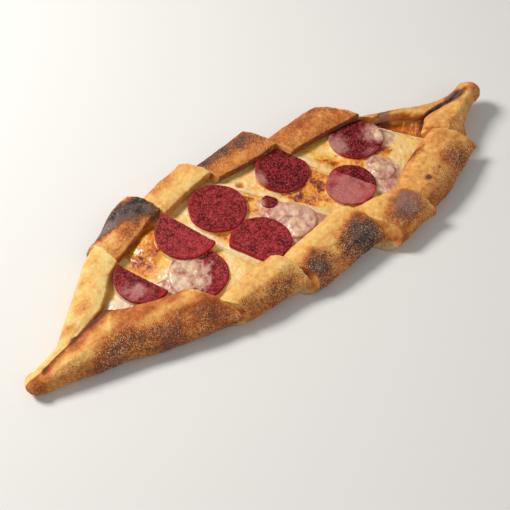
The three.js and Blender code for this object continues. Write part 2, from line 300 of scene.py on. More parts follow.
# Cheese lying over the slices, thick enough to hide them: x, y, radius along x, radius along y.
COVER = {
    3: [(-81, -6, 17, 15)],
    6: [(11, -14, 24, 23)],
    12: [(93, -23, 17, 16)],
    11: [(118, 4, 8, 9)],
}

# Thin smears of cheese on the slices: x, y, radius along x, radius along y, how opaque.
SMEAR = {
    1: [(-114, 5, 10, 8, 0.75)],
    3: [(-86, -2, 17, 14, 0.8)],
    7: [(2, 11, 4, 4, 0.8)],
    8: [(15, 30, 5, 10, 0.7)],
    9: [(60, -20, 22, 20, 0.6)],
    11: [(83, 19, 9, 12, 0.75), (113, 9, 11, 12, 0.8), (99, -2, 8, 4, 0.5)],
}

# Tone of each slice: 0 dark maroon, 1 pale pink.
SAUSAGE_TONE = {
    1: 0.36,
    2: 0.55,
    3: 0.35,
    4: 0.4,
    5: 0.42,
    6: 0.4,
    7: 0.15,
    8: 0.12,
    9: 0.75,
    10: 0.05,
    11: 0.0,
    12: 0.4,
}


# Toasted semolina grains.
GRAINS_PER_SQUARE_METRE = 7e5
GRAIN_RADIUS_M = 0.00026

# Soft lamps and the camera; places in metres, power in watts.
WINDOW = {"place": (-0.5, 0.8, 1.0), "size": 0.45, "power": 19.5, "colour": (1.0, 0.98, 0.95)}
FILL = {"place": (0.1, -1.0, 1.1), "size": 1.2, "power": 3.5, "colour": (1.0, 0.96, 0.9)}
ROOM_COLOUR = (0.95, 0.97, 1.0, 1)
ROOM_STRENGTH = 0.3
FLOOR_REACH_M = 3.0
CAMERA_PLACE = (-0.285, -0.33875, 0.5975)
CAMERA_DIRECTION = (0.359, 0.447, -0.819)
CAMERA_LENS = 70.6
CAMERA_SENSOR = 36

# Screen colours of the materials.
BURNT_ASH = 0x8C7468
ASH_FILM = 0xA0847A
PALE_SPECK = 0xECB674
PALE_SPECK_BURNT = 0x96807A
DARK_SPECK = 0x7A4226
DARK_SPECK_BURNT = 0x3A302E
CRUMB = 0xE2C08A
# painted shade: the colour of the crumb inside its pores
CRUMB_PORE_SHADE = 0xAE7E48
WHITE_CHEESE = 0xE6CDB0
SAUSAGE_JUICE = 0xB0574E
LEAN_DARK = 0x520004
LEAN_PALE = 0xB23036
FAT_SPECK = 0xCC5A5A
SPICE_SPECK = 0x2E0004
SAUSAGE_RIND = 0xB01018
THIN_SMEAR = 0xA84A4E
THICK_SMEAR = 0xD0A090
SEMOLINA_BROWN = 0xC98E4E
SEMOLINA_GOLD = 0xF2D39A
FLOOR_GREY = 0xDEDCD8


# ---- Noise ----
def lattice(cells, seed):
    """A repeatable value from 0 to 1 for each whole-number cell."""
    x, y, z = (cells[:, i].astype(np.int64) for i in range(3))
    h = (x * 73856093) ^ (y * 19349663) ^ (z * 83492791) ^ (seed * 40503)
    h = ((h ^ (h >> 13)) * 1274126177) & 0xFFFFFFFF
    h ^= h >> 16
    return (h & 0xFFFFFF) / 0xFFFFFF


def noise(points, size, seed):
    """Smooth noise from -1 to 1 with lumps about size across."""
    p = points / size
    cell = np.floor(p)
    f = p - cell
    f = f * f * (3 - 2 * f)
    total = np.zeros(len(p))
    for corner in range(8):
        step = np.array([corner & 1, corner >> 1 & 1, corner >> 2 & 1])
        weight = np.prod(np.where(step, f, 1 - f), axis=1)
        total += weight * lattice(cell + step, seed)
    return total * 2 - 1


def layered(points, size, seed, layers=3):
    """Noise of several sizes, each half as large and half as strong as the one before."""
    total = np.zeros(len(points))
    scale = 0.0
    for k in range(layers):
        total += noise(points, size / 2**k, seed + 31 * k) / 2**k
        scale += 1 / 2**k
    return total / scale * 1.6


def ramp(value, low, high):
    """0 below low, 1 above high, smooth between; low may be above high."""
    t = np.clip((value - low) / (high - low), 0, 1)
    return t * t * (3 - 2 * t)


# ---- Meshes as arrays ----
class Surface:
    """A mesh's points and normals in millimetres, with its edges, for reshaping."""

    def __init__(self, mesh):
        self.mesh = mesh
        self.points = self.read(mesh.vertices, "co", 3) / MM
        self.edges = self.read(mesh.edges, "vertices", 2, np.int32)
        count = len(self.points)
        self.valence = np.bincount(self.edges.ravel(), minlength=count)
        self.renew()

    @staticmethod
    def read(items, name, width, kind=np.float32):
        flat = np.empty(len(items) * width, kind)
        items.foreach_get(name, flat)
        flat = flat.reshape(-1, width)
        return flat.astype(np.float64) if kind is np.float32 else flat

    def renew(self):
        """Writes the points to the mesh and reads its normals again."""
        self.mesh.vertices.foreach_set("co", (self.points * MM).astype(np.float32).ravel())
        self.mesh.update()
        self.normals = self.read(self.mesh.vertex_normals, "vector", 3)

    def around(self, values):
        """The mean of each point's neighbours."""
        a, b = self.edges.T
        count = len(self.points)
        columns = values.reshape(count, -1)
        out = np.empty_like(columns)
        for k in range(columns.shape[1]):
            v = columns[:, k]
            out[:, k] = np.bincount(a, v[b], count) + np.bincount(b, v[a], count)
        return (out / np.maximum(self.valence, 1)[:, None]).reshape(values.shape)

    def relax(self, rounds, weight=None):
        """Smooths the surface; weight says how much each point may move."""
        share = 0.6 if weight is None else 0.6 * weight[:, None]
        for _ in range(rounds):
            self.points += share * (self.around(self.points) - self.points)
            self.points -= 0.35 * share * (self.around(self.points) - self.points)
        self.renew()

    def attribute(self, name, values):
        layer = self.mesh.attributes.new(name, "FLOAT", "POINT")
        layer.data.foreach_set("value", values.astype(np.float32))


def link(obj):
    bpy.context.scene.collection.objects.link(obj)
    return obj


def evaluated_mesh(obj):
    """The object's mesh with its modifiers applied; the object itself is removed."""
    graph = bpy.context.evaluated_depsgraph_get()
    mesh = bpy.data.meshes.new_from_object(obj.evaluated_get(graph))
    bpy.data.objects.remove(obj)
    return mesh


def largest_shell(mesh):
    """Keeps the largest connected shell of a mesh."""
    bm = bmesh.new()
    bm.from_mesh(mesh)
    bm.verts.ensure_lookup_table()
    seen = np.zeros(len(bm.verts), bool)
    shells = []
    for start in bm.verts:
        if seen[start.index]:
            continue
        seen[start.index] = True
        shell, stack = [], [start]
        while stack:
            v = stack.pop()
            shell.append(v)
            for e in v.link_edges:
                w = e.other_vert(v)
                if not seen[w.index]:
                    seen[w.index] = True
                    stack.append(w)
        shells.append(shell)
    shells.sort(key=len)
    spare = [v for shell in shells[:-1] for v in shell]
    bmesh.ops.delete(bm, geom=spare, context="VERTS")
    bm.to_mesh(mesh)
    bm.free()


def fine_copy(name, node_names, voxel):
    """A fine closed mesh over copies of CAD nodes; nodes that nearly touch become one skin."""
    bm = bmesh.new()
    for node_name in node_names:
        bm.from_mesh(NODES[node_name].data)
    bmesh.ops.remove_doubles(bm, verts=bm.verts, dist=1e-6)
    rough = bpy.data.meshes.new(name + "_rough")
    bm.to_mesh(rough)
    bm.free()
    holder = link(bpy.data.objects.new(name + "_rough", rough))
    skin = holder.modifiers.new("skin", "REMESH")
    skin.mode = "VOXEL"
    skin.voxel_size = voxel * MM
    mesh = evaluated_mesh(holder)
    largest_shell(mesh)
    return Surface(mesh)


def piece_object(name, surface, material, slot, *replaced):
    """Turns a finished surface into a piece that rides on the body and stands for its nodes."""
    mesh = surface.mesh
    mesh.name = name
    mesh.materials.clear()
    mesh.materials.append(material)
    mesh.polygons.foreach_set("use_smooth", [True] * len(mesh.polygons))
    obj = link(bpy.data.objects.new(name, mesh))
    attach(obj, "root")
    if replaced:
        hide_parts(*replaced)
    return obj


# ---- Where the cuts are ----
def cut_x(cut, points):
    """Where a knife cut is, for each point's y and z."""
    y = points[:, 1] + ORIGIN[1]
    left, right = cut["left"], cut["right"]
    past_left = np.maximum(0, y - left[0]) * (left[1] - cut["slant"])
    past_right = np.minimum(0, y - right[0]) * (right[1] - cut["slant"])
    lean = cut["lean"] * (points[:, 2] - LEAN_HEIGHT)
    return cut["x"] - cut["slant"] * y - past_left - past_right + lean - ORIGIN[0]


def cut_distances(points, i):
    """How far along x each point lies from its piece's near cut and far cut."""
    x = points[:, 0]
    near = x - cut_x(CUTS[i - 2], points) if i > 1 else np.full(len(points), OUT_OF_REACH)
    far = cut_x(CUTS[i - 1], points) - x if i < LAST else np.full(len(points), OUT_OF_REACH)
    return near, far


def cut_mask(surface, near, far):
    """1 on the knife-cut faces."""
    facing = np.where(near < far, -surface.normals[:, 0], surface.normals[:, 0])
    return ramp(facing, 0.55, 0.75) * ramp(np.minimum(near, far), 2.2, 1.0)


# ---- Crust ----
def patches(points, spots, seed, size=7, raggedness=0.2):
    """The summed depths of round patches with ragged outlines; each ends with its depth."""
    total = np.zeros(len(points))
    ragged = raggedness * layered(points, size, seed, 3)
    for x, y, *radii, depth in spots:
        r = np.hypot((points[:, 0] - x) / radii[0], (points[:, 1] - y) / radii[-1])
        total += depth * ramp(r + ragged, 1.3, 0.35)
    return total


def fold_strength(points, start, end, width):
    """1 along a fold's line, fading to 0 to its sides."""
    start, end = np.array(start), np.array(end)
    run = end - start
    flat = points[:, :2] + 1.2 * np.stack([noise(points, 9, SEED + 400), noise(points, 7, SEED + 401)], 1)
    t = np.clip((flat - start) @ run / (run @ run), 0, 1)
    gap = np.hypot(*(flat - start - t[:, None] * run).T)
    return np.exp(-((gap / width) ** 2))


def across_rim(points, side):
    """How far across its rim each point lies: 0 at the edge of the flap, 1 at the outside."""
    across = np.zeros(len(points))
    bins = ((points[:, 0] - points[:, 0].min()) / 5).astype(int)
    for s in (-1, 1):
        reach, lip = [], []
        for b in range(bins.max() + 1):
            here = points[(bins == b) & (side == s)]
            if len(here) < 30:
                reach.append(np.nan)
                lip.append(np.nan)
                continue
            reach.append((s * here[:, 1]).max())
            lip.append((s * here[here[:, 2] > 0.72 * here[:, 2].max(), 1]).min())
        steps = np.arange(len(reach))
        known = ~np.isnan(reach)
        mine = side == s
        x = (points[mine, 0] - points[:, 0].min()) / 5 - 0.5
        outer_y = np.interp(x, steps[known], np.array(reach)[known])
        lip_y = np.interp(x, steps[known], np.array(lip)[known])
        across[mine] = (s * points[mine, 1] - lip_y) / np.maximum(outer_y - lip_y, 5)
    return across


def crust_layout(surface, i):
    """Where each point of a crust lies: by its cuts, its side, its rim and its baked patches."""
    near, far = cut_distances(surface.points, i)
    nearest = np.minimum(near, far)
    surface.relax(5, 1 - 0.85 * ramp(nearest, 2.4, 0.9))
    p = surface.points
    side = np.where(p[:, 1] > np.interp(p[:, 0], MIDLINE_X, MIDLINE_Y), 1.0, -1.0)
    return SimpleNamespace(
        near=near,
        far=far,
        nearest=nearest,
        cut=cut_mask(surface, near, far),
        side=side,
        right=side < 0,
        across=across_rim(p, side),
        underside=ramp(surface.normals[:, 2], -0.5, -0.85),
        baked=patches(p, BAKED[i], SEED + i),
    )


def shape_rims(surface, at, i):
    """Flares each right rim at its far cut, tucks it in at its near one, and opens the far hollow."""
    p = surface.points
    outside = at.right * ramp(at.across, 0.45, 1.0)
    at_tip = ramp(np.abs(p[:, 2] - RIM_EDGE_HEIGHT), 9, 1)
    flare = FLARE[i] * ramp(at.far, 12, 0) * at_tip
    tuck = 1.8 * ramp(at.near, 12, 0)
    p[:, 1] -= outside * (flare - tuck)
    lowered = ramp(at.near, 9, 0) - 0.6 * ramp(at.far, 8, 0)
    p[:, 2] -= at.right * lowered * ramp(p[:, 2], 12, 20)
    if i == LAST:
        flap = ~at.right * ramp(at.across, 0.7, 0.0) * ramp(p[:, 2], 8, 14)
        p[:, 1] += HOLLOW_WIDENING * flap * ramp(p[:, 0], 154, 142)


def raise_folds(surface, i):
    """Raises the folds of a crust; returns how much browner they are."""
    p, n = surface.points, surface.normals
    browner = np.zeros(len(p))
    for start, end, width, height, browning in FOLDS.get(i, []):
        open_top = ramp(n[:, 2], 0.0, 0.5) * (p[:, 2] > FLAP_FOOT)
        strength = fold_strength(p, start, end, width) * open_top
        p[:, 2] += height * strength
        browner += browning * strength
    return browner


def puff_dough(surface, at, i):
    """Puffs the dough, least beside the cuts, with small blisters where it baked hardest."""
    p = surface.points
    free = (1 - at.cut) * (1 - at.underside)
    away = ramp(at.nearest, 1.0, 6.0)
    puff = (0.25 + 0.6 * away) * layered(p, 24, SEED + i, 2)
    puff += (0.12 + 0.26 * away) * layered(p, 8, SEED + 20 + i, 2)
    puff += 0.13 * layered(p, 2.4, SEED + 40 + i, 2)
    puff += 0.5 * np.clip(at.baked, 0, 0.6) * ramp(layered(p, 4, SEED + 60 + i, 2), 0.1, 0.9)
    crumb_bumps = 0.16 * layered(p, 1.8, SEED + 80 + i, 2)
    surface.points = p + surface.normals * (free * puff + at.cut * crumb_bumps)[:, None]
    surface.points[:, 2] = np.maximum(surface.points[:, 2], 0.0)
    surface.renew()


def crust_bake_and_shading(surface, at, folds, i):
    """How far each point is baked, 0 for raw dough and 1 for charcoal, with painted shade on the faces
    turned in under the flaps and a painted highlight that makes the cut edges paler.
    """
    p, n = surface.points, surface.normals
    left_edge, left_more = LEFT_TONE[i]
    right_edge, right_more = RIGHT_TONE[i]
    slope = ramp(p[:, 2], 23, 8) * ramp(at.side * n[:, 1], -0.2, 0.3)
    slope = np.maximum(slope, 0.8 * ramp(at.across, 0.5, 1.0))
    outward = np.where(at.right, slope, ramp(at.across, 0.2, 1.0))
    bake = np.where(at.right, right_edge + right_more * outward, left_edge + left_more * outward)
    # painted shade: faces turned in under the flaps are made browner, most on the left rims
    inner_shade = ramp(at.side * n[:, 1], -0.25, -0.75) * ramp(at.across, 0.5, 0.1)
    bake += inner_shade * np.where(at.right, 0.06, 0.22)
    bake += 0.08 * at.right * ramp(at.near, 8, 1) * ramp(at.across, 0.1, 0.6)
    bake += 0.07 * layered(p, 16, SEED + 100 + i, 3) + 0.06 * layered(p, 5, SEED + 120 + i, 2)
    bake += 0.1 * outward * layered(p, 11, SEED + 140 + i, 3)
    bake += 0.06 * layered(p, 2.2, SEED + 150 + i, 2)
    bake += at.baked + folds
    # painted highlight: the crust is made paler along its cut edges, as if lit
    lit_edge = ramp(at.nearest, 2.6, 1.2) * (1 - at.cut)
    bake -= 0.12 * lit_edge + 0.16 * ramp(p[:, 2], 3.5, 0.5)
    cut_bake = 0.34 + 0.14 * layered(p, 6, SEED + 170, 2) + 0.3 * at.baked
    return np.where(at.cut > 0.5, cut_bake, bake)


def semolina_dusting(surface, at, bake, i):
    """How thickly semolina lies: thickest on the outside of the right rims, none on the cuts."""
    dusting = np.where(at.right, ramp(at.across, 0.3, 0.75), LEFT_GRAIN[i])
    dusting = dusting * (0.75 + 0.5 * layered(surface.points, 12, SEED + 160, 2))
    dusting = dusting + np.clip(at.baked, 0, 0.25)
    dusting *= 1 - 0.3 * ramp(bake, 0.55, 0.85)
    return np.clip(dusting, 0, 1) * (1 - at.cut) * (1 - at.underside)


def crust_surface(i):
    """A piece's crust, shaped and puffed, with its browning and painted light and shade, ash, crumb and
    semolina as attributes.
    """
    surface = fine_copy(f"crust_{i}", [f"piece_{i}_crust"], CRUST_VOXEL)
    at = crust_layout(surface, i)
    shape_rims(surface, at, i)
    folds = raise_folds(surface, i)
    puff_dough(surface, at, i)
    p = surface.points
    bake = crust_bake_and_shading(surface, at, folds, i)
    ash = patches(p, ASH.get(i, []), SEED + 190, 5, 0.4)
    crumb_line = 6 + 2.5 * layered(p, 7, SEED + 180 + i, 2)
    # the browning is stored together with its painted shade and painted highlight
    surface.attribute("bake", np.clip(bake, 0, 1))
    surface.attribute("ash", np.clip(ash, 0, 1))
    surface.attribute("crumb", at.cut * ramp(p[:, 2], crumb_line + 1.5, crumb_line - 1.5))
    surface.attribute("grain", semolina_dusting(surface, at, bake, i))
    return surface


# ---- Sausage ----
def cover_field(spots, points):
    """Above 0 where a slice is covered by cheese, and larger further in; ragged at the edge."""
    ragged = 0.3 * layered(points, 9, SEED + 300, 3) + 0.12 * layered(points, 2.4, SEED + 310, 2)
    value = np.full(len(points), -1.0)
    for x, y, rx, ry in spots:
        r = np.hypot((points[:, 0] - x) / rx, (points[:, 1] - y) / ry)
        value = np.maximum(value, 1 - r - ragged)
    return value


def sausage_surface(k):
    """A slice with an uneven edge and top, its smears of cheese raised a little."""
    surface = fine_copy(f"sausage_skin_{k}", [f"sausage_{k}"], SAUSAGE_VOXEL)
    surface.relax(3)
    p = surface.points
    low, high = p.min(0), p.max(0)
    middle, radius = (low + high) / 2, max(high - low) / 2
    offset = p[:, :2] - middle[:2]
    reach = np.hypot(*offset.T)
    rim = reach / radius
    wobble = 0.5 * noise(p, 9, SEED + k) * rim**3
    p[:, :2] += offset / np.maximum(reach, 1)[:, None] * wobble[:, None]
    top = ramp(surface.normals[:, 2], 0.2, 0.8)
    lift = 0.13 * layered(p, 3, SEED + k, 3) * top + 0.5 * rim**4 * noise(p, 16, SEED + 9 + k)
    lift += 0.45 * rim**6
    smear = patches(p, SMEAR.get(k, []), SEED + 250 + k, 5, 0.45)
    edge_of_cover = ramp(cover_field(COVER.get(k, []), p), -0.3, 0.0)
    film = np.clip(np.maximum(smear, edge_of_cover), 0, 1)
    p[:, 2] += lift + 0.35 * film * top * (1 + layered(p, 2.5, SEED + 260, 2))
    surface.renew()
    spread = 0.28 * layered(p, 5, SEED + 200 + k, 3) + 0.44 * layered(p, 1.7, SEED + 220 + k, 2)
    rind = np.maximum(ramp(surface.normals[:, 2], 0.75, 0.3), 0.8 * ramp(rim, 0.9, 0.99))
    surface.attribute("tone", np.clip(SAUSAGE_TONE[k] + spread, 0, 1))
    surface.attribute("film", film)
    surface.attribute("rind", np.clip(rind * (1 - film), 0, 1))
    return surface


def slice_tree(surface):
    """A search tree over a finished slice, in metres."""
    faces = [tuple(face.vertices) for face in surface.mesh.polygons]
    return BVHTree.FromPolygons([Vector(v) for v in surface.points * MM], faces)


# ---- Cheese ----
def sausage_tops(trees, points):
    """For points seen from above: the height of the sausage surface there, or nan, and which slice."""
    height = np.full(len(points), np.nan)
    which = np.zeros(len(points), int)
    down = Vector((0, 0, -1))
    for index, (x, y, _) in enumerate(points * MM):
        for k, tree in trees.items():
            hit = tree.ray_cast(Vector((x, y, OVERHEAD_M)), down)[0]
            if hit is not None and not height[index] > hit.z / MM:
                height[index] = hit.z / MM
                which[index] = k
    return height, which


def near_sausage(trees, points, reach):
    """The height of the nearest sausage surface, where one is within reach, or nan; and how far it is."""
    level = np.full(len(points), np.nan)
    gap = np.full(len(points), OUT_OF_REACH)
    for index, point in enumerate(points * MM):
        for tree in trees.values():
            hit, _, _, distance = tree.find_nearest(Vector(point), reach * MM)
            if hit is not None and distance / MM < gap[index]:
                level[index] = hit.z / MM
                gap[index] = distance / MM
    return level, gap


def cheese_layout(surface, trees, i):
    """Where each point of a filling lies: by its cuts, its patches, and the slices below its top."""
    near, far = cut_distances(surface.points, i)
    surface.relax(5, 1 - 0.8 * ramp(np.minimum(near, far), 2.2, 0.9))
    p = surface.points
    wavy = 2.2 * layered(p, 13, SEED + 315 + i, 2)
    upper = np.flatnonzero((surface.normals[:, 2] > -0.2) & (p[:, 2] > CHEESE_FOOT))
    slice_top, which = sausage_tops(trees, p[upper])
    film = np.full(len(upper), -1.0)
    for k in trees:
        film = np.where(which == k, cover_field(COVER.get(k, []), p[upper]), film)
    blister = np.clip(patches(p, BLISTERS, SEED + 360, 4.5, 0.75), 0, 1)
    broken = ramp(layered(p, 2.6, SEED + 370, 3), -0.7, 0.35)
    return SimpleNamespace(
        far=far,
        wavy_near=near + wavy,
        wavy_far=far + wavy,
        cut=cut_mask(surface, near, far),
        upper=upper,
        slice_top=slice_top,
        covered=~np.isnan(slice_top),
        film=film,
        golden=patches(p, GOLDEN, SEED + 330, 9, 0.5),
        blister=blister * (0.25 + 0.75 * broken),
        white=patches(p, WHITE, SEED + 380, 6, 0.5),
        pink=np.clip(patches(p, PINK, SEED + 390, 5, 0.6), 0, 1),
        pit=patches(p, [(*PIT, 1.0)], SEED, 3, 0.3),
        lumps=0.75 * layered(p, 10, SEED + 320 + i, 3) + 0.22 * layered(p, 2.6, SEED + 340, 2),
    )


def melt(surface, at):
    """Slow swells, lumps, blisters, bubbles, the burnt hole and the raised near edge of the piece."""
    p = surface.points
    domed = patches(p, BUBBLES, SEED + 385, 6, 0.15)
    rise = at.lumps + 0.6 * at.white + 0.45 * at.blister - 2.5 * at.pit + domed
    rise += 1.5 * ramp(at.wavy_near, 9, 2) - 1.6 * ramp(at.wavy_far, 6, 1)
    top_facing = ramp(surface.normals[:, 2], 0.0, 0.6) * (p[:, 2] > CHEESE_FOOT)
    p[:, 2] += top_facing * rise


def lay_on_slices(surface, at, trees):
    """Lays the cheese over the covered parts of the slices and keeps it under the rest; returns how
    far inside a cover each upper point is."""
    p = surface.points[at.upper]
    z = p[:, 2]
    heap = 0.9 + 0.7 * layered(p, 4, SEED + 395, 2)
    over = at.slice_top + 0.3 + 2.0 * np.clip(at.film, 0, 0.35) * heap + 0.3 * at.lumps[at.upper]
    z = np.where(at.covered, np.where(at.film > 0, over, at.slice_top - 1.0), z)
    skirt, gap = near_sausage(trees, p, SLICE_APRON)
    spilled = np.full(len(p), -1.0)
    for k in trees:
        spilled = np.maximum(spilled, cover_field(COVER.get(k, []), p))
    beside = ~at.covered & ~np.isnan(skirt)
    z = np.where(beside & (gap < 0.9) & (spilled <= 0), np.minimum(z, skirt - 0.6), z)
    hide = ramp(spilled, -0.12, 0.12) * ramp(gap, SLICE_APRON, 0.5)
    level_with = skirt + 0.3 + 0.8 * np.clip(spilled, 0, 0.5) * heap
    z = np.where(beside, np.maximum(z, z + hide * (level_with - z)), z)
    surface.points[at.upper, 2] = z
    return spilled


def settle_heaps(surface, at, spilled):
    """Smooths the top a little, and the heaps over and beside the slices a lot; returns the heaps."""
    p = surface.points
    moved, heaped = np.zeros(len(p)), np.zeros(len(p))
    moved[at.upper] = 1
    heaped[at.upper] = ramp(spilled, -0.2, 0.05)
    for share in 2 * [0.35 * moved] + 10 * [0.6 * heaped]:
        p[:, 2] += share * (surface.around(p)[:, 2] - p[:, 2])
    p[:, 2] += 0.5 * heaped * layered(p, 3.5, SEED + 398, 2)
    surface.renew()
    return heaped


def colour_cheese(surface, at, spilled, heaped, i):
    """Writes how golden, white, pink and bubbly the cheese is; the last piece's is all browned."""
    p = surface.points
    edge = np.maximum(ramp(at.wavy_near, 9, 4), ramp(at.far, 4, 1))
    plain = 1 - 0.75 * edge
    white = np.clip(at.white, 0, 1)
    level = 0.16 + 0.36 * np.clip(at.golden, 0, 1.1) * plain + 0.42 * at.blister * plain
    level += 0.11 * layered(p, 6, SEED + 350, 3) - 0.15 * white - 0.08 * edge
    if i == LAST:
        level = 0.72 + 0.2 * layered(p, 5, SEED, 3)
    stained = 0.7 + 0.3 * ramp(at.film, 0.45, 0.0) + 0.6 * layered(p[at.upper], 5, SEED + 397, 3)
    juice = np.zeros(len(p))
    juice[at.upper] = np.clip(stained, 0, 1) * ramp(spilled, -0.12, 0.04)
    pink = np.clip(np.maximum(at.pink * plain, 0.95 * juice), 0, 1)
    pale_cut = np.maximum(0.5 * at.cut, 0.25 * ramp(at.wavy_near, 8, 4))
    pale = np.clip(np.maximum(0.8 * at.white + pale_cut, 0.7 * heaped), 0, 1)
    surface.attribute("level", np.clip(level + 0.7 * at.pit, 0, 1))
    surface.attribute("bubbly", np.clip(at.blister + 0.4 * at.golden, 0, 1) * plain * (1 - white))
    surface.attribute("pink", pink * (i < LAST))
    surface.attribute("white", pale * (i < LAST))


def cheese_surface(i, sausages):
    """A piece's melted filling, one skin over its CAD node and the slices that lie in it."""
    trees = {k: sausages[k] for k in SAUSAGES_ON[i]}
    names = [f"piece_{i}_filling"] + [f"sausage_{k}" for k in trees]
    surface = fine_copy(f"cheese_{i}", names, CHEESE_VOXEL)
    at = cheese_layout(surface, trees, i)
    melt(surface, at)
    spilled = lay_on_slices(surface, at, trees)
    heaped = settle_heaps(surface, at, spilled)
    colour_cheese(surface, at, spilled, heaped, i)
    return surface


def string_rings(bm, start, end, thick):
    """Rings of vertices along one string, which sags and is thinnest in its middle."""
    start, end = Vector(start), Vector(end)
    along = (end - start).normalized()
    across = along.cross(Vector((0, 0, 1))).normalized()
    up = across.cross(along)
    turns = [2 * math.pi * k / STRING_SIDES for k in range(STRING_SIDES)]
    rings = []
    for step in range(STRING_STEPS + 1):
        t = step / STRING_STEPS
        centre = start.lerp(end, t) - Vector((0, 0, STRING_SAG * 4 * t * (1 - t)))
        radius = thick * (0.7 + 1.2 * (t - 0.5) ** 2)
        ring = [centre + radius * (math.cos(a) * across + math.sin(a) * up) for a in turns]
        rings.append([bm.verts.new(v * MM) for v in ring])
    return rings


def string_surface():
    """Thin strings of cheese pulled out of the fifth cut, joined as one piece."""
    bm = bmesh.new()
    for start, end, thick in STRINGS:
        rings = string_rings(bm, start, end, thick)
        for low, high in zip(rings, rings[1:]):
            for k in range(STRING_SIDES):
                bm.faces.new((low[k], low[k - 1], high[k - 1], high[k]))
        bm.faces.new(rings[0])
        bm.faces.new(reversed(rings[-1]))
    bmesh.ops.recalc_face_normals(bm, faces=bm.faces)
    mesh = bpy.data.meshes.new("cheese_strings")
    bm.to_mesh(mesh)
    bm.free()
    surface = Surface(mesh)
    for name, value in STRING_COLOURING.items():
        surface.attribute(name, np.full(len(surface.points), value))
    return surface


# ---- Colours and materials ----
def paint(code):
    """A screen colour such as 0xE8C48A as the linear colour that Blender mixes."""
    channels = [(code >> shift & 255) / 255 for shift in (16, 8, 0)]
    linear = [c / 12.92 if c <= 0.04045 else ((c + 0.055) / 1.055) ** 2.4 for c in channels]
    return (*linear, 1.0)


def add(tree, kind, inputs=None, **settings):
    """Adds a node; inputs maps socket names or numbers to a value or to another node's socket."""
    node = tree.nodes.new(kind)
    for key, value in settings.items():
        setattr(node, key, value)
    for key, value in (inputs or {}).items():
        socket = node.inputs[key]
        if isinstance(value, bpy.types.NodeSocket):
            tree.links.new(value, socket)
        else:
            socket.default_value = value
    return node


def math_node(tree, operation, *values):
    return add(tree, "ShaderNodeMath", dict(enumerate(values)), operation=operation).outputs[0]


def blend_colours(tree, factor, a, b):
    return add(tree, "ShaderNodeMix", {"Factor": factor, 6: a, 7: b}, data_type="RGBA").outputs[2]


def colour_ramp(tree, factor, stops):
    node = add(tree, "ShaderNodeValToRGB", {"Fac": factor})
    elements = node.color_ramp.elements
    while len(elements) < len(stops):
        elements.new(0.5)
    for element, (position, code) in zip(elements, stops):
        element.position = position
        element.color = paint(code)
    return node.outputs["Color"]


def read_attribute(tree, name):
    return add(tree, "ShaderNodeAttribute", attribute_name=name).outputs["Fac"]


def new_group(name, inputs, outputs):
    """A shader node group with float inputs {name: default} and outputs {name: socket type}."""
    tree = bpy.data.node_groups.new(name, "ShaderNodeTree")
    vector = tree.interface.new_socket("Vector", in_out="INPUT", socket_type="NodeSocketVector")
    vector.hide_value = True
    for key, value in inputs.items():
        tree.interface.new_socket(key, in_out="INPUT", socket_type="NodeSocketFloat").default_value = value
    for key, kind in outputs.items():
        tree.interface.new_socket(key, in_out="OUTPUT", socket_type=kind)
    return tree, add(tree, "NodeGroupInput").outputs, add(tree, "NodeGroupOutput").inputs


def mottle_group():
    """Soft patches: noise of a given grain, spread between two levels."""
    tree, given, out = new_group(
        "mottle", {"Grain": 500.0, "Low": 0.35, "High": 0.65}, {"Mask": "NodeSocketFloat"}
    )
    cloud = add(
        tree,
        "ShaderNodeTexNoise",
        {"Vector": given["Vector"], "Scale": given["Grain"], "Detail": 5.0, "Roughness": 0.6},
    )
    spread = add(
        tree,
        "ShaderNodeMapRange",
        {"Value": cloud.outputs["Fac"], "From Min": given["Low"], "From Max": given["High"]},
        interpolation_type="SMOOTHSTEP",
    )
    tree.links.new(spread.outputs["Result"], out["Mask"])
    return tree


def speck_group():
    """Small round specks: the cores of a share of the cells of a cell pattern."""
    tree, given, out = new_group(
        "specks", {"Grain": 900.0, "Size": 0.3, "Share": 0.5}, {"Mask": "NodeSocketFloat"}
    )
    cells = add(tree, "ShaderNodeTexVoronoi", {"Vector": given["Vector"], "Scale": given["Grain"]})
    core = math_node(tree, "LESS_THAN", cells.outputs["Distance"], given["Size"])
    pick = add(tree, "ShaderNodeSeparateColor", {"Color": cells.outputs["Color"]})
    chosen = math_node(tree, "LESS_THAN", pick.outputs[0], given["Share"])
    tree.links.new(math_node(tree, "MULTIPLY", core, chosen), out["Mask"])
    return tree


MOTTLE = mottle_group()
SPECKS = speck_group()


def use_group(tree, group, **inputs):
    node = add(tree, "ShaderNodeGroup", node_tree=group)
    for key, value in inputs.items():
        if isinstance(value, bpy.types.NodeSocket):
            tree.links.new(value, node.inputs[key])
        else:
            node.inputs[key].default_value = value
    return node.outputs["Mask"]


def new_material(name, **shader_values):
    """A material with a Principled BSDF; returns it with its tree, shader and object coordinates."""
    material = bpy.data.materials.new(name)
    material.use_nodes = True
    tree = material.node_tree
    shader = tree.nodes["Principled BSDF"]
    for key, value in shader_values.items():
        shader.inputs[key.replace("_", " ")].default_value = value
    place = add(tree, "ShaderNodeTexCoord").outputs["Object"]
    return material, tree, shader, place


def bump(tree, height, distance, strength):
    inputs = {"Height": height, "Distance": distance, "Strength": strength}
    return add(tree, "ShaderNodeBump", inputs).outputs["Normal"]


CRUST_STOPS = [
    (0.0, 0xF6D98C),
    (0.16, 0xF2BE6C),
    (0.32, 0xE0964C),
    (0.46, 0xC26C32),
    (0.58, 0xA04E22),
    (0.7, 0x724232),
    (0.82, 0x583F36),
    (1.0, 0x2E2624),
]


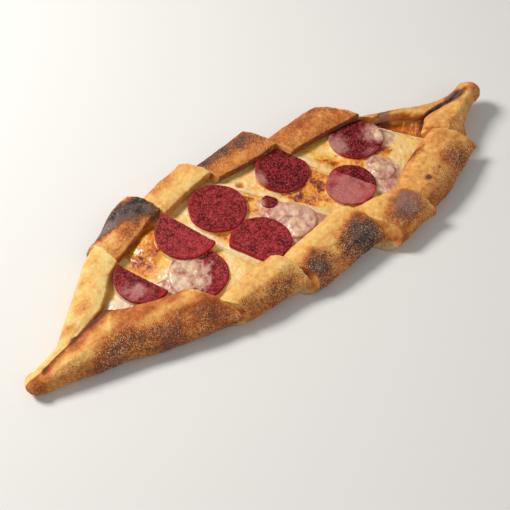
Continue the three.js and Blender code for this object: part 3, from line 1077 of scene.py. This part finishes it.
def dough_colour(tree, bake, grain, soft, fine):
    """The colour of the dough by how far it is baked and by its painted shade and highlight, mottled more
    where semolina lies.
    """
    soft_shift = math_node(tree, "MULTIPLY_ADD", soft, 0.1, -0.05)
    coarse = math_node(tree, "MULTIPLY_ADD", grain, 0.3, 0.06)
    fine_shift = math_node(tree, "MULTIPLY", math_node(tree, "SUBTRACT", fine, 0.5), coarse)
    level = math_node(tree, "ADD", math_node(tree, "ADD", bake, soft_shift), fine_shift)
    return colour_ramp(tree, level, CRUST_STOPS)


def lay_ash(tree, colour, place, burnt, soft):
    """Grey patches on the burnt dough, and the pale film of ash on some of it."""
    ash = use_group(tree, MOTTLE, Vector=place, Grain=110.0, Low=0.42, High=0.62)
    ash_amount = math_node(tree, "MULTIPLY", math_node(tree, "MULTIPLY", ash, burnt), 0.45)
    colour = blend_colours(tree, ash_amount, colour, paint(BURNT_ASH))
    thickness = math_node(tree, "MULTIPLY_ADD", soft, 0.4, 0.45)
    film = math_node(tree, "MULTIPLY", read_attribute(tree, "ash"), thickness)
    return blend_colours(tree, film, colour, paint(ASH_FILM))


def lay_specks(tree, colour, place, burnt, grain):
    """Toasted semolina: pale specks that stand out on the brown, and dark ones between them."""
    pale = use_group(tree, SPECKS, Vector=place, Grain=900.0, Size=0.36, Share=0.6)
    dark = use_group(tree, SPECKS, Vector=place, Grain=760.0, Size=0.34, Share=0.5)
    pale_amount = math_node(tree, "MULTIPLY", math_node(tree, "MULTIPLY", pale, grain), 0.85)
    dark_amount = math_node(tree, "MULTIPLY", math_node(tree, "MULTIPLY", dark, grain), 0.65)
    pale_colour = blend_colours(tree, burnt, paint(PALE_SPECK), paint(PALE_SPECK_BURNT))
    dark_colour = blend_colours(tree, burnt, paint(DARK_SPECK), paint(DARK_SPECK_BURNT))
    colour = blend_colours(tree, dark_amount, colour, dark_colour)
    colour = blend_colours(tree, pale_amount, colour, pale_colour)
    height = math_node(tree, "MULTIPLY", math_node(tree, "MAXIMUM", pale, dark), grain)
    return colour, height


def show_crumb(tree, colour, place):
    """The pale, open crumb at the foot of the cuts, with painted shade that darkens its pores."""
    crumb = read_attribute(tree, "crumb")
    pores = use_group(tree, SPECKS, Vector=place, Grain=520.0, Size=0.36, Share=0.6)
    # painted shade: the pores are coloured darker than the crumb
    pore_shade = math_node(tree, "MULTIPLY", pores, 0.5)
    inside = blend_colours(tree, pore_shade, paint(CRUMB), paint(CRUMB_PORE_SHADE))
    height = math_node(tree, "MULTIPLY", math_node(tree, "MULTIPLY", pores, crumb), -1.5)
    return blend_colours(tree, crumb, colour, inside), height


def crust_material():
    material, tree, shader, place = new_material(
        "baked_crust", Subsurface_Weight=0.05, Subsurface_Scale=0.004, Specular_IOR_Level=0.2
    )
    shader.inputs["Subsurface Radius"].default_value = (1.0, 0.55, 0.25)
    # the browning read here holds painted shade and a painted highlight
    bake = read_attribute(tree, "bake")
    grain = read_attribute(tree, "grain")
    soft = use_group(tree, MOTTLE, Vector=place, Grain=380.0, Low=0.3, High=0.7)
    fine = use_group(tree, MOTTLE, Vector=place, Grain=1300.0, Low=0.35, High=0.65)
    burning = add(tree, "ShaderNodeMapRange", {"Value": bake, "From Min": 0.55, "From Max": 0.9})
    burnt = burning.outputs["Result"]
    colour = dough_colour(tree, bake, grain, soft, fine)
    colour = lay_ash(tree, colour, place, burnt, soft)
    colour, speck_height = lay_specks(tree, colour, place, burnt, grain)
    colour, pore_height = show_crumb(tree, colour, place)
    tree.links.new(colour, shader.inputs["Base Color"])
    rough = math_node(tree, "MULTIPLY_ADD", fine, 0.2, 0.5)
    tree.links.new(rough, shader.inputs["Roughness"])
    height = math_node(tree, "ADD", math_node(tree, "ADD", speck_height, fine), pore_height)
    tree.links.new(bump(tree, height, 0.0003, 0.8), shader.inputs["Normal"])
    return material


CHEESE_STOPS = [
    (0.0, 0xF2D8A2),
    (0.15, 0xEEC678),
    (0.32, 0xECB03A),
    (0.5, 0xE2941C),
    (0.66, 0xCC6612),
    (0.84, 0x9A400F),
    (1.0, 0x5E240C),
]


def cheese_material():
    material, tree, shader, place = new_material(
        "melted_cheese", Subsurface_Weight=0.15, Subsurface_Scale=0.004, Coat_Weight=0.6, Coat_Roughness=0.14
    )
    shader.inputs["Subsurface Radius"].default_value = (1.0, 0.65, 0.3)
    browned = read_attribute(tree, "level")
    pink = read_attribute(tree, "pink")
    white = read_attribute(tree, "white")
    bubbly = read_attribute(tree, "bubbly")
    soft = use_group(tree, MOTTLE, Vector=place, Grain=220.0, Low=0.3, High=0.7)
    fine = use_group(tree, MOTTLE, Vector=place, Grain=800.0, Low=0.35, High=0.65)
    shift = math_node(tree, "MULTIPLY_ADD", soft, 0.12, -0.06)
    spots = math_node(tree, "MULTIPLY", math_node(tree, "SUBTRACT", fine, 0.5), 0.16)
    lace = use_group(tree, MOTTLE, Vector=place, Grain=470.0, Low=0.4, High=0.6)
    lace_shift = math_node(tree, "MULTIPLY", math_node(tree, "SUBTRACT", lace, 0.5), 0.34)
    spots = math_node(tree, "MULTIPLY_ADD", lace_shift, bubbly, spots)
    level = math_node(tree, "ADD", browned, math_node(tree, "ADD", shift, spots))
    colour = colour_ramp(tree, level, CHEESE_STOPS)
    colour = blend_colours(tree, white, colour, paint(WHITE_CHEESE))
    tint = math_node(tree, "MULTIPLY", pink, math_node(tree, "MULTIPLY_ADD", soft, 0.8, 0.25))
    colour = blend_colours(tree, tint, colour, paint(SAUSAGE_JUICE))
    tree.links.new(colour, shader.inputs["Base Color"])
    tree.links.new(math_node(tree, "MULTIPLY_ADD", fine, 0.22, 0.2), shader.inputs["Roughness"])
    tree.links.new(bump(tree, math_node(tree, "ADD", fine, soft), 0.0004, 0.5), shader.inputs["Normal"])
    return material


def sausage_material():
    material, tree, shader, place = new_material(
        "cured_sausage", Subsurface_Weight=0.04, Subsurface_Scale=0.002, Specular_IOR_Level=0.2
    )
    shader.inputs["Subsurface Radius"].default_value = (1.0, 0.3, 0.25)
    tone = read_attribute(tree, "tone")
    rind = read_attribute(tree, "rind")
    film = read_attribute(tree, "film")
    lean = blend_colours(tree, tone, paint(LEAN_DARK), paint(LEAN_PALE))
    fat = use_group(tree, SPECKS, Vector=place, Grain=980.0, Size=0.42, Share=0.55)
    dark = use_group(tree, SPECKS, Vector=place, Grain=700.0, Size=0.38, Share=0.5)
    fine = use_group(tree, MOTTLE, Vector=place, Grain=1100.0, Low=0.35, High=0.65)
    colour = blend_colours(tree, math_node(tree, "MULTIPLY", fat, 0.6), lean, paint(FAT_SPECK))
    colour = blend_colours(tree, math_node(tree, "MULTIPLY", dark, 0.74), colour, paint(SPICE_SPECK))
    colour = blend_colours(tree, math_node(tree, "MULTIPLY", rind, 0.7), colour, paint(SAUSAGE_RIND))
    cream = blend_colours(tree, film, paint(THIN_SMEAR), paint(THICK_SMEAR))
    veil = math_node(tree, "MULTIPLY", film, math_node(tree, "MULTIPLY_ADD", fine, 0.5, 0.6))
    colour = blend_colours(tree, veil, colour, cream)
    tree.links.new(colour, shader.inputs["Base Color"])
    tree.links.new(math_node(tree, "MULTIPLY_ADD", fine, 0.2, 0.34), shader.inputs["Roughness"])
    tree.links.new(bump(tree, math_node(tree, "ADD", fine, fat), 0.0002, 0.5), shader.inputs["Normal"])
    return material


def semolina_material():
    material, tree, shader, place = new_material("toasted_semolina", Specular_IOR_Level=0.4)
    tint = use_group(tree, MOTTLE, Vector=place, Grain=260.0, Low=0.35, High=0.65)
    colour = blend_colours(tree, tint, paint(SEMOLINA_BROWN), paint(SEMOLINA_GOLD))
    tree.links.new(colour, shader.inputs["Base Color"])
    tree.links.new(math_node(tree, "MULTIPLY_ADD", tint, 0.2, 0.45), shader.inputs["Roughness"])
    return material


# ---- Semolina grains by Geometry Nodes ----
def grain_sockets(sockets):
    """The scatter's inputs and output: the surface, how many grains, how large, and the seed."""
    sockets.new_socket("Geometry", in_out="INPUT", socket_type="NodeSocketGeometry")
    for name, value in (("Per square metre", GRAINS_PER_SQUARE_METRE), ("Grain size", GRAIN_RADIUS_M)):
        sockets.new_socket(name, in_out="INPUT", socket_type="NodeSocketFloat").default_value = value
    sockets.new_socket("Seed", in_out="INPUT", socket_type="NodeSocketInt")
    sockets.new_socket("Geometry", in_out="OUTPUT", socket_type="NodeSocketGeometry")


def grain_points(tree, given):
    """Points on the surface, closest together where its grain attribute is highest."""
    amount = add(tree, "GeometryNodeInputNamedAttribute", {"Name": "grain"}, data_type="FLOAT")
    sharp = math_node(tree, "POWER", amount.outputs[0], 2.0)
    density = math_node(tree, "MULTIPLY", sharp, given["Per square metre"])
    spread = {"Mesh": given["Geometry"], "Density": density, "Seed": given["Seed"]}
    points = add(tree, "GeometryNodeDistributePointsOnFaces", spread, distribute_method="RANDOM")
    return points.outputs["Points"]


def grain_tree(material):
    """Scatters small faceted grains over a surface, each with its own size, proportions and turn."""
    tree = bpy.data.node_groups.new("scatter_grains", "GeometryNodeTree")
    grain_sockets(tree.interface)
    given = add(tree, "NodeGroupInput").outputs
    ball = add(tree, "GeometryNodeMeshIcoSphere", {"Radius": given["Grain size"], "Subdivisions": 1})
    range_of_sizes = {"Min": (0.7, 0.7, 0.5), "Max": (1.7, 1.4, 1.1), "Seed": given["Seed"]}
    size = add(tree, "FunctionNodeRandomValue", range_of_sizes, data_type="FLOAT_VECTOR")
    turn = add(tree, "FunctionNodeRandomValue", {"Max": (6.28, 6.28, 6.28)}, data_type="FLOAT_VECTOR")
    laid_out = {"Points": grain_points(tree, given), "Instance": ball.outputs["Mesh"]}
    scatter = add(tree, "GeometryNodeInstanceOnPoints", laid_out)
    tree.links.new(size.outputs["Value"], scatter.inputs["Scale"])
    tree.links.new(turn.outputs["Value"], scatter.inputs["Rotation"])
    real = add(tree, "GeometryNodeRealizeInstances", {"Geometry": scatter.outputs["Instances"]})
    coated = {"Geometry": real.outputs["Geometry"], "Material": material}
    finish = add(tree, "GeometryNodeSetMaterial", coated)
    tree.links.new(finish.outputs["Geometry"], add(tree, "NodeGroupOutput").inputs["Geometry"])
    return tree


def scatter_grains(tree, surface, name, seed, material):
    holder = link(bpy.data.objects.new(name + "_ground", surface.mesh.copy()))
    modifier = holder.modifiers.new("grains", "NODES")
    modifier.node_group = tree
    keys = {s.name: s.identifier for s in tree.interface.items_tree if s.in_out == "INPUT"}
    modifier[keys["Seed"]] = seed
    mesh = evaluated_mesh(holder)
    mesh.name = name
    mesh.materials.clear()
    mesh.materials.append(material)
    obj = link(bpy.data.objects.new(name, mesh))
    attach(obj, "root")
    return obj


# ---- Making the pide ----
crust_look = crust_material()
cheese_look = cheese_material()
sausage_look = sausage_material()
semolina_look = semolina_material()

sausage_trees = {}
for k in SLICES:
    skin = sausage_surface(k)
    piece_object(f"sausage_slice_{k}", skin, sausage_look, "sausage", f"sausage_{k}")
    sausage_trees[k] = slice_tree(skin)

grains = grain_tree(semolina_look)
for i in PIECES:
    crust = crust_surface(i)
    piece_object(f"crust_{i}", crust, crust_look, "crust", f"piece_{i}_crust")
    scatter_grains(grains, crust, f"semolina_{i}", SEED + i, semolina_look)
    cheese = cheese_surface(i, sausage_trees)
    piece_object(f"cheese_{i}", cheese, cheese_look, "cheese", f"piece_{i}_filling")
piece_object("cheese_strings", string_surface(), cheese_look, "cheese")


# ---- Stage: floor, light and camera ----
def stage_floor():
    mesh = bpy.data.meshes.new("floor")
    r = FLOOR_REACH_M
    mesh.from_pydata([(-r, -r, 0), (r, -r, 0), (r, r, 0), (-r, r, 0)], [], [(0, 1, 2, 3)])
    material, _, shader, _ = new_material("pale_floor", Roughness=0.8)
    shader.inputs["Base Color"].default_value = paint(FLOOR_GREY)
    mesh.materials.append(material)
    link(bpy.data.objects.new("floor", mesh))


def soft_light(name, place, size, power, colour):
    """A round soft lamp that points at the pide."""
    data = bpy.data.lights.new(name, "AREA")
    data.shape = "DISK"
    data.size = size
    data.energy = power
    data.color = colour
    lamp = link(bpy.data.objects.new(name, data))
    lamp.location = place
    lamp.rotation_euler = (-Vector(place)).to_track_quat("-Z", "Y").to_euler()


def stage_light():
    world = bpy.data.worlds.new("room")
    world.use_nodes = True
    background = world.node_tree.nodes["Background"]
    background.inputs["Color"].default_value = ROOM_COLOUR
    background.inputs["Strength"].default_value = ROOM_STRENGTH
    bpy.context.scene.world = world
    soft_light("window", **WINDOW)
    soft_light("fill", **FILL)


def stage_camera():
    data = bpy.data.cameras.new("camera")
    data.sensor_width = CAMERA_SENSOR
    data.lens = CAMERA_LENS
    camera = link(bpy.data.objects.new("camera", data))
    camera.location = CAMERA_PLACE
    camera.rotation_euler = Vector(CAMERA_DIRECTION).to_track_quat("-Z", "Y").to_euler()
    bpy.context.scene.camera = camera


stage_floor()
stage_light()
stage_camera()
bpy.context.scene.view_settings.view_transform = "Standard"
